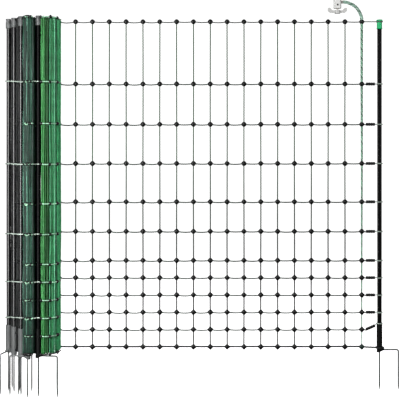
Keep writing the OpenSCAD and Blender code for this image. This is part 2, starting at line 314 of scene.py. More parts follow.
def cube_ball(cuts):
    """A cube's faces cut into a grid and blown up to a ball: unit vertices and quads."""
    g = np.linspace(-1, 1, cuts + 2)
    verts, faces, index = [], [], {}

    def vertex(p):
        key = tuple(np.round(p, 5))
        if key not in index:
            index[key] = len(verts)
            verts.append(np.tan(np.array(p) * math.pi / 4))
        return index[key]

    for axis in range(3):
        for sign in (-1, 1):
            for i in range(cuts + 1):
                for j in range(cuts + 1):
                    quad = []
                    for u, v in ((i, j), (i + 1, j), (i + 1, j + 1), (i, j + 1)):
                        p = [0.0, 0.0, 0.0]
                        p[axis] = float(sign)
                        p[(axis + 1) % 3], p[(axis + 2) % 3] = g[u], g[v]
                        quad.append(vertex(p))
                    faces.append(quad if sign > 0 else quad[::-1])
    verts = np.array(verts)
    return verts / np.linalg.norm(verts, axis=1)[:, None], np.array(faces)


KNOT_FINE = cube_ball(4)
KNOT_COARSE = cube_ball(1)
KNOT_THICKNESS = 0.78
RIDGE_HEIGHT, RIDGE_WIDTH = 0.05, 0.16


def knot_shape(template, lobes, size):
    """A moulded knot: thinner in Y, with a lobe towards each strand and a parting ridge."""
    v, faces = template
    round_y = np.arctan2(v[:, 2], v[:, 0])
    flat = np.hypot(v[:, 0], v[:, 2])
    r = 1 + lobes * np.cos(4 * round_y) * flat ** 2
    ridge = 1 + RIDGE_HEIGHT * np.exp(-(v[:, 1] / RIDGE_WIDTH) ** 2)
    shape = v * (r * ridge)[:, None] * size
    shape[:, 1] *= KNOT_THICKNESS
    return shape, faces


def spin(v, angle, axis=2):
    c, s = math.cos(angle), math.sin(angle)
    a, b = [k for k in range(3) if k != axis]
    out = v.copy()
    out[:, a] = c * v[:, a] - s * v[:, b]
    out[:, b] = s * v[:, a] + c * v[:, b]
    return out


# ---- Materials ----

def new_material(name):
    m = bpy.data.materials.new(name)
    m.use_nodes = True
    tree = m.node_tree
    shader = next(n for n in tree.nodes if n.type == "BSDF_PRINCIPLED")
    return m, tree, shader


def node(tree, kind, settings=None, inputs=None):
    n = tree.nodes.new(kind)
    for key, value in (settings or {}).items():
        setattr(n, key, value)
    for key, value in (inputs or {}).items():
        if isinstance(value, bpy.types.NodeSocket):
            tree.links.new(value, n.inputs[key])
        else:
            n.inputs[key].default_value = value
    return n


def maths(tree, operation, a, b=0.0):
    return node(tree, "ShaderNodeMath", {"operation": operation}, {0: a, 1: b}).outputs[0]


def ramp(tree, factor, stops):
    """A colour ramp from (position, grey or colour) stops."""
    n = node(tree, "ShaderNodeValToRGB", None, {0: factor})
    points = n.color_ramp.elements
    while len(points) < len(stops):
        points.new(0.5)
    for point, (position, colour) in zip(points, stops):
        point.position = position
        rgb = (colour,) * 3 if np.ndim(colour) == 0 else tuple(colour)
        point.color = (*rgb, 1)
    return n.outputs[0]


def multiply(tree, share, a, b):
    """Colour a with so large a share of it multiplied by b."""
    return node(tree, "ShaderNodeMix", {"data_type": "RGBA", "blend_type": "MULTIPLY"},
                {"Factor": share, "A": a, "B": b}).outputs["Result"]


def attribute(tree, name, output):
    return node(tree, "ShaderNodeAttribute", {"attribute_name": name}).outputs[output]


def noise(tree, scale, detail, coordinates):
    return node(tree, "ShaderNodeTexNoise", None,
                {"Scale": scale, "Detail": detail, "Vector": coordinates}).outputs[0]


def add_bump(tree, shader, strength, distance, height):
    bump = node(tree, "ShaderNodeBump", None,
                {"Strength": strength, "Distance": distance, "Height": height})
    tree.links.new(bump.outputs[0], shader.inputs["Normal"])


def object_coordinates(tree):
    return node(tree, "ShaderNodeTexCoord").outputs["Object"]


TWINE_TURNS_PER_METRE, YARNS, FIBRES_PER_YARN = 90.0, 3.0, 4.0
WIRE_COLOUR = (0.42, 0.44, 0.42, 1)
WIRE_METALLIC, WIRE_ROUGHNESS = 0.85, 0.3


def twine_material(name, filaments, roughness):
    """Twisted plastic twine, with painted shade in the grooves between its fibres. filaments is the
    share of it that is fine bright wire.
    """
    m, tree, shader = new_material(name)
    tint = attribute(tree, "tint", "Color")
    place = attribute(tree, "place", "Vector")
    along, round_it, seed = node(tree, "ShaderNodeSeparateXYZ", None, {0: place}).outputs
    lay = maths(tree, "ADD", maths(tree, "MULTIPLY", along, TWINE_TURNS_PER_METRE),
                maths(tree, "MULTIPLY", seed, 7.0))
    yarn = maths(tree, "MULTIPLY", round_it, YARNS)
    winding = maths(tree, "FRACT", maths(tree, "ADD", yarn, lay))
    fibre = maths(tree, "FRACT", maths(tree, "MULTIPLY", winding, FIBRES_PER_YARN))
    wear = noise(tree, 35.0, 4.0, object_coordinates(tree))
    tone_shift = multiply(tree, 1.0, tint, ramp(tree, wear, [(0.3, 0.72), (0.7, 1.2)]))
    # Painted shade: the colour is darkened in the grooves between the fibres.
    groove = ramp(tree, fibre, [(0.0, 0.55), (0.25, 1.0), (0.8, 1.0), (1.0, 0.6)])
    groove_shaded = multiply(tree, 0.8, tone_shift, groove)
    wire = maths(tree, "LESS_THAN", winding, filaments)
    colour = node(tree, "ShaderNodeMix", {"data_type": "RGBA"},
                  {"Factor": wire, "A": groove_shaded, "B": WIRE_COLOUR}).outputs["Result"]
    tree.links.new(colour, shader.inputs["Base Color"])
    tree.links.new(maths(tree, "MULTIPLY", wire, WIRE_METALLIC), shader.inputs["Metallic"])
    rough = maths(tree, "SUBTRACT", roughness,
                  maths(tree, "MULTIPLY", wire, roughness - WIRE_ROUGHNESS))
    tree.links.new(rough, shader.inputs["Roughness"])
    height = maths(tree, "ADD", groove, maths(tree, "MULTIPLY", wear, 0.3))
    add_bump(tree, shader, 0.35, 0.0003, height)
    return m


GRAIN_SCALE = 900.0


def plastic_material(name, colour, roughness, grain=0.12, spread=0.15, specular=0.5):
    """Moulded plastic: uneven colour and gloss, and fine grain. No colour means the mesh's tint."""
    m, tree, shader = new_material(name)
    coordinates = object_coordinates(tree)
    clouds = noise(tree, 22.0, 5.0, coordinates)
    if colour is None:
        shade = ramp(tree, clouds, [(0.3, 1 - spread), (0.7, 1 + spread)])
        out = multiply(tree, 1.0, attribute(tree, "tint", "Color"), shade)
    else:
        base = linear(colour)
        out = ramp(tree, clouds, [(0.3, base * (1 - spread)), (0.7, base * (1 + spread))])
    tree.links.new(out, shader.inputs["Base Color"])
    gloss = ramp(tree, noise(tree, 60.0, 3.0, coordinates),
                 [(0.3, max(roughness - 0.06, 0.03)), (0.7, roughness + 0.08)])
    tree.links.new(gloss, shader.inputs["Roughness"])
    add_bump(tree, shader, grain, 0.0004, noise(tree, GRAIN_SCALE, 2.0, coordinates))
    shader.inputs["Specular IOR Level"].default_value = specular
    return m


SPANGLE_SCALE = 260.0
STEEL_METALLIC = 0.6


def steel_material(name, colour, roughness, spangle=0.25, dark_tip=False):
    """Galvanised or rolled steel: spangle and dull patches. dark_tip darkens it near the ground."""
    m, tree, shader = new_material(name)
    coordinates = object_coordinates(tree)
    crystals = node(tree, "ShaderNodeTexVoronoi", None,
                    {"Scale": SPANGLE_SCALE, "Vector": coordinates}).outputs["Color"]
    grey = node(tree, "ShaderNodeSeparateColor", None, {0: crystals}).outputs[0]
    base = linear(colour)
    out = ramp(tree, grey, [(0.0, base * (1 - spangle)), (1.0, base * (1 + spangle))])
    if dark_tip:
        height = node(tree, "ShaderNodeSeparateXYZ", None, {0: coordinates}).outputs[2]
        # Darker towards the ground, with some noise.
        tone_shift = maths(tree, "ADD", maths(tree, "MULTIPLY", height, 8.0),
                     maths(tree, "MULTIPLY", noise(tree, 90.0, 3.0, coordinates), 0.3))
        out = multiply(tree, 1.0, out, ramp(tree, tone_shift, [(0.1, 0.35), (0.9, 1.0)]))
    tree.links.new(out, shader.inputs["Base Color"])
    shader.inputs["Metallic"].default_value = STEEL_METALLIC
    gloss = ramp(tree, noise(tree, 120.0, 4.0, coordinates),
                 [(0.3, roughness - 0.08), (0.7, roughness + 0.12)])
    tree.links.new(gloss, shader.inputs["Roughness"])
    add_bump(tree, shader, 0.15, 0.0003, noise(tree, 700.0, 2.0, coordinates))
    return m


POLYWIRE = twine_material("polywire", 0.06, 0.5)
TWINE = twine_material("twine", 0.0, 0.5)
KNOT_PLASTIC = plastic_material("knot_plastic", None, 0.36, specular=0.3)
GLOSS_BLACK = plastic_material("gloss_black_rod", (4, 4, 5), 0.3, grain=0.03, specular=0.9)
DEEP_BLACK = plastic_material("deep_black_rod", (4, 4, 5), 0.3, grain=0.05, specular=0.1)
CAP_GREEN = plastic_material("green_cap", (8, 196, 120), 0.34, spread=0.12)
CAP_SMOKE = plastic_material("smoky_cap", (92, 94, 94), 0.3, spread=0.5)
# Painted light: the black foot plastic painted lighter grey, as the lit feet look.
LIT_GREY_FOOT = plastic_material("black_foot_painted_light", (92, 94, 94), 0.42, grain=0.2)
DARK_FOOT = plastic_material("end_foot", (8, 9, 9), 0.42, grain=0.2, specular=0.15)
WHITE_PLASTIC = plastic_material("white_plastic", (236, 236, 234), 0.35, spread=0.03)
# Painted shade: the white plastic of the wing grip painted greyer, for the shading on its edges.
SHADED_WHITE_PLASTIC = plastic_material("white_plastic_painted_shade", (206, 206, 204), 0.35, spread=0.03)
CRIMP_BLACK = plastic_material("black_crimp", None, 0.38, specular=0.3)
SPIKE_STEEL = steel_material("galvanised_spike", (130, 132, 132), 0.42, dark_tip=True)
# Painted shade: a darker copy of the galvanised steel, for the spikes of the end post and the front
# post.
SHADED_SPIKE_STEEL = steel_material("spike_painted_shade", (74, 76, 76), 0.45, dark_tip=True)
BRIGHT_STEEL = steel_material("bright_steel", (190, 186, 178), 0.3, spangle=0.08)

GREEN_LINE = linear((10, 48, 30))
TOP_GREEN = linear((10, 32, 20))
BLACK = linear((6, 7, 7))
BOTTOM_BLACK = linear((6, 8, 7))
STRUT_GREEN = linear((12, 74, 24))
RISER_KNOT_GREEN = linear((14, 40, 32))
END_LOOP_GREY = linear((96, 108, 100))
LIGHT_STRAND = linear((196, 212, 200))
FRONT_STRAND = linear((150, 200, 168))
FOLDED_STRAND = linear((150, 200, 166))
FOLDED_TOP_STRAND = linear((120, 185, 145))
RISER_TINTS = [linear(c)
               for c in ((156, 206, 176), (112, 174, 142), (168, 214, 186), (52, 98, 76))]
LEAD_TINTS = [linear(c)
              for c in ((168, 202, 184), (138, 178, 158), (178, 212, 194), (88, 124, 106))]


# ---- The panel ----

def hump(t):
    """0 at both ends of a span and 1 in its middle."""
    return 4 * t * (1 - t)


def line_points(x0, x1, z, sag):
    """A horizontal line that droops a little between every two columns, less towards the right."""
    n = max(2, int(round((x1 - x0) / LINE_STEP)) + 1)
    x = np.linspace(x0, x1, n)
    cell = (x - column_x(0)) / PITCH
    t = cell - np.floor(cell)
    lean = 0.18 * np.sin(2.1 * np.floor(cell) + 40 * z)
    warped = np.clip(t + lean * t * (1 - t), 0, 1)
    depth = mix(sag, RIGHT_SAG_SHARE * sag, np.clip((x - DROOP_LEFT_X) / DROOP_RUN, 0, 1))
    unevenness = 1 + 0.25 * np.sin(5 * np.floor(cell) + 90 * z)
    droop = depth * 4 * warped * (1 - warped) * unevenness
    bow = 0.0008 * np.sin(2 * math.pi * x / 0.31 + 30 * z)
    return np.stack([x, np.full(n, NET_Y) + bow * np.sin(math.pi * t), z - droop], -1)


def strut_points(x):
    n = max(2, int(round((TOP_Z - BOTTOM_Z) / STRUT_STEP)) + 1)
    z = np.linspace(BOTTOM_Z, TOP_Z, n)
    sway = 0.0003 * np.sin(9 * z + 70 * x)
    return np.stack([x + sway, np.full(n, NET_Y), z], -1)


def strut_look(z):
    """Radius and tint of a strut by height: thin and green above, thicker and black below."""
    t = np.clip((z - STRUT_LOW_Z) / (STRUT_HIGH_Z - STRUT_LOW_Z), 0, 1)
    radius = mix(STRUT_LOW_R, STRUT_HIGH_R, t)
    tint = BLACK + (STRUT_GREEN - BLACK) * t[:, None] ** 1.2
    return radius, tint


def add_strut(batch, x):
    points = strut_points(x)
    radius, tint = strut_look(points[:, 2])
    batch.tube(points, radius, tint, **STRUT_TWIST)


def add_line(batch, row, x0, x1):
    z = ROW_Z[row]
    if row == 0:
        path = line_points(x0, x1, z + BOTTOM_LIFT, BOTTOM_SAG)
        batch.tube(path, BOTTOM_LINE_R, BOTTOM_BLACK, **BOTTOM_TWIST)
    elif row == TOP_ROW:
        batch.tube(line_points(x0, x1, z, TOP_SAG), TOP_LINE_R, TOP_GREEN, **TOP_TWIST)
    else:
        path = line_points(x0, x1, z, CONDUCTOR_SAG)
        batch.tube(path, CONDUCTOR_R, GREEN_LINE, **CONDUCTOR_TWIST)


def add_knot(batch, x, row, tint=BLACK):
    """A knot of the panel, with fuller lobes lower down."""
    lobes = mix(0.15, 0.04, row / TOP_ROW)
    shape, faces = knot_shape(KNOT_FINE, lobes, KNOT_R * (1 + 0.3 * lobes))
    shape = spin(shape, rng.normal(0, 0.05), 1) * rng.uniform(0.97, 1.02)
    shape[:, :] += (x, NET_Y, ROW_Z[row])
    batch.add(shape, faces, tint * rng.uniform(0.8, 1.25))


def build_strip_lines(number, first, last):
    """The conductors, then the top and the bottom line, which at the end post run on into loops."""
    body = f"net_strip_{number}"
    x0, x1 = column_x(first), column_x(last)
    at_end = last == LAST_COLUMN
    lines, top, bottom = Batch(), Batch(), Batch()
    for row in range(1, TOP_ROW):
        add_line(lines, row, x0, CRIMP_START + CRIMP_OVERLAP if at_end else x1)
    add_line(top, TOP_ROW, x0, x1)
    add_line(bottom, 0, x0, x1)
    if at_end:
        add_end_loops(top, bottom)
    lines.build(f"polywire_lines_{number}", POLYWIRE, body, [f"conductors_{number}"],
                "conductor_line")
    top.build(f"top_twine_{number}", TWINE, body, [f"top_line_{number}"], "top_line")
    bottom.build(f"bottom_twine_{number}", TWINE, body, [f"bottom_line_{number}"], "bottom_line")


def build_strip(number, first, last):
    """One strip of the panel, from its hinge column to its last column."""
    body = f"net_strip_{number}"
    build_strip_lines(number, first, last)
    struts, knots = Batch(), Batch()
    for i in range(first + 1, min(last, LAST_COLUMN - 1) + 1):
        add_strut(struts, column_x(i))
    for i in range(first + 1, last + 1):
        for row in range(TOP_ROW + 1):
            riser = i == LAST_COLUMN and row == 0
            add_knot(knots, column_x(i), row, tint=RISER_KNOT_GREEN if riser else BLACK)
    struts.build(f"strut_twine_{number}", TWINE, body, [f"struts_{number}"], "strut")
    knots.build(f"moulded_knots_{number}", KNOT_PLASTIC, body, [f"knots_{number}"], "knot")


def ring_points(z, radius):
    """A full turn round the end post, from its left side."""
    a = math.pi + np.linspace(0, 2 * math.pi, 40)
    return np.stack([END_X + radius * np.cos(a), NET_Y + radius * np.sin(a), np.full(40, z)], -1)


def add_end_loops(top, bottom):
    """The top line loops round the cap's neck, and the bottom line round the foot sleeve."""
    loop_r = NECK_R + LOOP_GAP + TOP_LINE_R
    run = line_points(LAST_X, END_X - loop_r, TOP_Z, 0.0)
    top.tube(run, TOP_LINE_R, END_LOOP_GREY, **END_LOOP_TWIST)
    top.tube(ring_points(TOP_Z, loop_r), TOP_LINE_R, END_LOOP_GREY, ref=(0, 0, 1), **END_LOOP_TWIST)
    loop_r = FOOT_R + LOOP_GAP + BOTTOM_LINE_R
    run = straight((LAST_X, NET_Y, BOTTOM_Z), (END_X - loop_r, NET_Y, FOOT_LOOP_Z), 24)
    bottom.tube(run, BOTTOM_LINE_R, BOTTOM_BLACK, **BOTTOM_TWIST)
    bottom.tube(ring_points(FOOT_LOOP_Z, loop_r), BOTTOM_LINE_R, BOTTOM_BLACK, ref=(0, 0, 1),
                **BOTTOM_TWIST)


for number, (first, last) in enumerate(STRIPS, 1):
    build_strip(number, first, last)


RUN_INTO_BUNDLE = 0.012


def build_first_columns():
    """The stretch between the bundle and the first strip, which stays with the bundle."""
    lines, columns = Batch(), Batch()
    for row in range(TOP_ROW + 1):
        add_line(lines, row, column_x(0) - RUN_INTO_BUNDLE, column_x(1))
    lines.build("first_lines", POLYWIRE, "bundle", ["inner_lines"], "conductor_line")
    for i in (0, 1):
        add_strut(columns, column_x(i))
    for i in (0, 1):
        for row in range(TOP_ROW + 1):
            add_knot(columns, column_x(i), row)
    columns.build("first_columns", KNOT_PLASTIC, "bundle", ["inner_columns"], "knot")


build_first_columns()


# ---- Riser, crimps, loops and lead at the last column ----

def build_riser():
    """Four strands twisted together, thickening upwards as a conductor's tail joins at each row."""
    riser = Batch()
    points = strut_points(LAST_X)
    outer = mix(RISER_LOW_R, RISER_HIGH_R, (points[:, 2] - BOTTOM_Z) / (TOP_Z - BOTTOM_Z))
    for k, tint in enumerate(RISER_TINTS):
        path = helix(points, outer * 0.5, RISER_LAY, k * math.pi / 2, (0, 1, 0))
        riser.tube(path, outer * 0.52, tint, **RISER_TWIST)
    riser.build("twisted_riser", POLYWIRE, "net_strip_3", ["edge_riser"], "riser")


def lathe(batch, start, end, profile, tint, sides=16, ref=(0, 1, 0)):
    """A turned shape between two points: profile is (share of the length, radius) pairs."""
    start, end = np.array(start), np.array(end)
    points = np.array([start + (end - start) * t for t, _ in profile])
    batch.tube(points, np.array([r for _, r in profile]), tint, sides=sides, ref=ref)


def build_crimps():
    """Sleeves with three pressed grooves, one on the end of each conductor."""
    crimps = Batch()
    grooves = []
    for centre in (0.24, 0.5, 0.76):
        grooves += [(centre - 0.055, 1.0), (centre - 0.035, 0.84),
                    (centre + 0.035, 0.84), (centre + 0.055, 1.0)]
    profile = [(0.0, 0.55), (0.03, 0.8), (0.07, 0.96), *grooves,
               (0.92, 0.97), (0.97, 0.8), (1.0, 0.5)]
    profile = [(t, r * CRIMP_R) for t, r in profile]
    for row in range(1, TOP_ROW):
        z = ROW_Z[row]
        rise = FIRST_CRIMP_RISE if row == 1 else 0
        lathe(crimps, (CRIMP_START, NET_Y, z), (CRIMP_END, NET_Y, z + rise), profile, BLACK)
    crimps.build("crimps", CRIMP_BLACK, "net_strip_3", ["crimp_sleeves"], "crimp")


def build_post_loops():
    """A light strand from each crimp to the end post and once round it."""
    loops = Batch()
    loop_r = END_ROD_R + LOOP_GAP + LOOP_STRAND_R
    for row in range(1, TOP_ROW):
        z = FIRST_LOOP_Z if row == 1 else ROW_Z[row]
        start = ROW_Z[row] + (FIRST_CRIMP_RISE if row == 1 else 0)
        ring = ring_points(z, loop_r)
        loops.tube(ring, LOOP_STRAND_R, LIGHT_STRAND, ref=(0, 0, 1), **POST_LOOP_TWIST)
        run = straight((CRIMP_END - 0.002, NET_Y, start), (END_X - loop_r, NET_Y, z), 8)
        loops.tube(run, LOOP_STRAND_R, LIGHT_STRAND, **POST_LOOP_TWIST)
    loops.build("loop_strands", POLYWIRE, "net_strip_3", ["post_loops"], "loop")


def build_lead():
    """Four strands laid round the lead's line, from the last column's top knot to the connector."""
    lead = Batch()
    line = smooth_path(LEAD_ROUTE, 8)
    for k, tint in enumerate(LEAD_TINTS):
        path = helix(line, LEAD_R * 0.58, LEAD_LAY, k * math.pi / 2, (0, 1, 0))
        lead.tube(path, LEAD_R * 0.6, tint, sides=8, **LEAD_TWIST)
    piece = lead.build("twisted_lead", POLYWIRE, "net_strip_3", ["feed_lead"], "lead")


FEED_PORT_Z = 1.328


def build_port_shade_plug():
    """A black plug behind the feed port, seen through its bore: painted shade in the hole."""
    shade_plug = Batch()
    low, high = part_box("terminal_body")
    x, y = (low.x + high.x) / 2, (low.y + high.y) / 2
    profile = [(0.0, 0.0034), (0.15, 0.0034), (0.2, 0.0026),
               (0.5, 0.0024), (0.55, 0.0034), (1.0, 0.0034)]
    lathe(shade_plug, (x, y - 0.001, FEED_PORT_Z), (x, y + 0.009, FEED_PORT_Z), profile, BLACK,
          sides=20, ref=(0, 0, 1))
    shade_plug.build("port_shade_plug", CRIMP_BLACK, "net_strip_3", [], "crimp")


build_port_shade_plug()
build_riser()
build_crimps()
build_post_loops()
build_lead()


# ---- The folded bundle ----

def half_width(y, widest, roundness):
    t = min(1.0, abs(y - BUNDLE_Y) / HALF_D)
    return widest * (1 - t ** roundness) ** (1 / roundness)


def left_edge(y):
    """Left end of a layer: the rounded outline, or the slanting line of the outer posts."""
    edge = BUNDLE_X - half_width(y, LEFT_W, 3)
    slant = POSTS[0][0] - (y - POSTS[0][1]) * SLANT_SLOPE
    return max(edge, min(slant, SLANT_END_X))


def push_clear(p, clearance):
    """Moves plan points out of every post's clearance circle."""
    p = np.array(p, float)
    for post in POSTS:
        d = p[:, :2] - post
        r = np.linalg.norm(d, axis=1)
        near = r < clearance
        if near.any():
            away = d[near] / np.maximum(r[near], 1e-6)[:, None]
            p[near, :2] = np.array(post) + away * clearance
    return p


def layer(x0, x1, y, spacing, jitter):
    """Struts of one folded layer, as (x, y, whether it has knots).

    Widely spaced struts have knots, apart from most ends and most of those at the right. In a
    dense layer only every fifth or eleventh strut has them.
    """
    wide = spacing > WIDE_SPACING
    n = max(2, int(round((x1 - x0) / spacing)))
    x = np.linspace(x0, x1, n) + rng.uniform(-jitter, jitter, n) * spacing
    x = np.sort(np.where((x < x0) | (x > x1), rng.uniform(x0, x1, n), x))
    x[0], x[-1] = x0 + rng.uniform(0, 0.003), x1 - rng.uniform(0, 0.003)
    every = 1 if wide else 5 if y < FRONT_Y + 1.2 * LAYER else 11
    first = int(rng.integers(every))
    ends_shown = rng.random(2) < 0.1
    knotted = [(i + first) % every == 0 for i in range(n)]
    knotted[0], knotted[-1] = ends_shown
    left_out = (rng.random(n) < 0.85) & (x > FEW_KNOTS_X) & wide
    return [(a, y + rng.uniform(-0.0008, 0.0008), k and not out)
            for a, k, out in zip(x, knotted, left_out)]


def serpentine(ys, edges, spacing_of):
    """Columns of the folded net in the order it runs: to and fro, a layer at each y."""
    out = []
    for k, y in enumerate(ys):
        x0, x1 = edges(y)
        if x1 - x0 < 0.008:
            continue
        spacing = spacing_of(y)
        columns = layer(x0, x1, y, spacing, 0.12 if spacing < 0.02 else 0.9)
        out.append(columns if k % 2 else columns[::-1])
    return [c for row in out for c in row]


def right_edge(y):
    return BUNDLE_X + half_width(y, RIGHT_W, 4)


def full_edges(y):
    return left_edge(y) + MARGIN, right_edge(y) - MARGIN


def left_edges(y):
    """Ends of a front layer on the left of the notch that post 5 stands in."""
    return left_edge(y) + MARGIN, NOTCH_LEFT_X


def right_edges(y):
    return NOTCH_RIGHT_X, right_edge(y) - MARGIN


def spacing_main(y):
    """Spacing of the struts at depth y: dense at the back and in one layer inside."""
    if y > BACK_Y - 1.5 * LAYER:
        return 0.0055
    return 0.0042 if abs(y - 0.01) < 0.5 * LAYER else 0.028


def spacing_front(y):
    """The same for the front layers, dense in the outermost ones and in one behind them."""
    dense = y < FRONT_LINES_Y or abs(y - FRONT_Y - 6 * LAYER) < 0.5 * LAYER
    return 0.0042 if dense else 0.026


def slant_chain():
    """Struts behind the slanting line of the outer posts."""
    along, across = np.array(SLANT_ALONG), np.array(SLANT_ACROSS)
    return [(*(np.array(POSTS[0]) + t * along + SLANT_OFFSET * across), k % 5 == 0)
            for k, t in enumerate(np.arange(-0.022, 0.092, 0.0044))]


def sixth_post_chain():
    """Struts in an arc in front of the sixth post."""
    x, y = POSTS[5]
    return [(x + 0.0134 * math.cos(a), y + 0.0134 * math.sin(a), k == 4)
            for k, a in enumerate(np.radians(np.linspace(-158, -22, 9)))]


def fold_chains():
    main_ys = np.arange(BACK_Y, NOTCH_Y, -LAYER)
    front_ys = np.arange(NOTCH_Y - LAYER * 0.5, FRONT_Y, -LAYER)
    return [slant_chain(), sixth_post_chain(), serpentine(main_ys, full_edges, spacing_main),
            serpentine(front_ys, left_edges, spacing_front),
            serpentine(front_ys, right_edges, spacing_front)]


# Tints of the folded netting by where it stands, painted light and shade: lit greens at the front
# post and lighter ones on the right folds, darker green painted shade with one pale
# painted-highlight strand left of the notch, and near-black painted shade among the posts.
FRONT_GREENS = [linear(c) for c in ((30, 104, 42), (62, 146, 76), (20, 76, 32), (84, 168, 98))]
FOLD_GREENS = [linear(c) for c in ((46, 140, 84), (80, 176, 122), (106, 196, 148), (30, 104, 60))]
SHADE_AND_HIGHLIGHT_GREENS = [linear(c)
               for c in ((4, 32, 24), (8, 54, 38), (96, 150, 128), (5, 24, 19), (18, 76, 54))]
SHADED_GREENS = [linear(c) for c in ((3, 8, 7), (5, 13, 10), (2, 5, 5))]


def folded_tint(x):
    """Tint of a folded strut, painted light and shade: near-black painted shade among the posts,
    then darker green painted shade, then lit greens with painted shade in the valleys and painted
    light on the last fold.
    """
    if x > FOLD_VALLEYS[1]:
        palette = FOLD_GREENS
    elif x > GREEN_X:
        palette = FRONT_GREENS
    else:
        palette = SHADE_AND_HIGHLIGHT_GREENS if x > DARK_X else SHADED_GREENS
    tint = palette[int(rng.integers(len(palette)))] * rng.uniform(0.85, 1.15)
    # Painted shade in the valleys between the folds, painted light on the last fold.
    if min(abs(x - v) for v in FOLD_VALLEYS) < VALLEY_HALF_WIDTH:
        return tint * VALLEY_SHADE
    return tint * (LAST_FOLD_PAINTED_LIGHT if x > FOLD_VALLEYS[2] else 1.0)


def is_outer(x, y):
    """True near the bundle's skin, where its netting is seen."""
    low, high = full_edges(y)
    return (y < FRONT_Y + OUTER_LAYERS_FRONT * LAYER or y > BACK_Y - OUTER_LAYERS_BACK * LAYER
            or x - low < OUTER_X or high - x < OUTER_X)


def folded_column(x, y, fine):
    """The path of one folded strut, swaying a little, clear of the posts."""
    z = np.linspace(BOTTOM_Z, TOP_Z, FINE_RINGS if fine else COARSE_RINGS)
    a, b, c, d = rng.uniform(0, 2 * math.pi, 4)
    px = x + STRUT_SWAY * np.sin(9 * z + a) + 0.4 * STRUT_SWAY * np.sin(23 * z + b)
    py = y + STRUT_SWAY * np.sin(8 * z + c) + 0.4 * STRUT_SWAY * np.sin(19 * z + d)
    return push_clear(np.stack([px, py, z], -1), POST_CLEARANCE - 0.0006)


def point_at(path, z):
    """The path's point at height z. Beyond the path's end it keeps the end's x and y."""
    x, y = (np.interp(z, path[:, 2], path[:, k]) for k in range(2))
    return np.array([x, y, z])


def folded_line(p, q, sag, fine):
    """A line between two knots of the folded net: it has slack, so it droops and bows."""
    n = 9 if fine else 5
    line = straight(p, q, n)
    bulge = hump(np.linspace(0, 1, n))
    line[:, 2] -= sag * bulge
    across = np.array([-(q - p)[1], (q - p)[0]])
    across /= max(np.linalg.norm(across), 1e-6)
    line[:, :2] += across * (rng.uniform(-0.0012, 0.0012) * bulge)[:, None]
    return push_clear(line, POST_CLEARANCE - 0.0014)


def add_folded_knot(batch, template, place):
    shape, faces = knot_shape(template, FOLDED_KNOT_LOBES, FOLDED_KNOT_R)
    shape = spin(shape, rng.uniform(0, math.pi)) * rng.uniform(0.9, 1.05)
    batch.add(shape + place, faces, BLACK * rng.uniform(0.8, 1.3))


def folded_line_look(row):
    """Radius and tint of a line in the folded net, thinner in the top and the bottom row."""
    if row == 0:
        return FOLDED_RIM_R, BOTTOM_BLACK
    if row == TOP_ROW:
        return FOLDED_RIM_R, FOLDED_TOP_STRAND
    return CONDUCTOR_R, FOLDED_STRAND * rng.uniform(0.7, 1.2)


def add_folded_line(batch, row, before, knot, seen, at_front):
    """A line of the folded net between two knots. Those at the front bulge forward."""
    span = np.linalg.norm(knot - before)
    sag = rng.uniform(0.1, 0.5) * max(0.0, min(0.012, (PITCH - span) * 0.3))
    if row == 0:
        sag = 0.0
    line = folded_line(before, knot, sag if seen else sag * 2, seen)
    if at_front:
        line[:, 1] -= 0.005 * np.sin(math.pi * np.linspace(0, 1, len(line))) ** 0.6
    radius, colour = folded_line_look(row)
    if seen:
        batch.tube(line, radius, colour, ref=(0, 0, 1), **FOLDED_LINE_TWIST)
    else:
        # Painted shade: lines hidden inside the bundle are darkened.
        batch.tube(line, radius, colour * 0.7, sides=4, ref=(0, 0, 1))


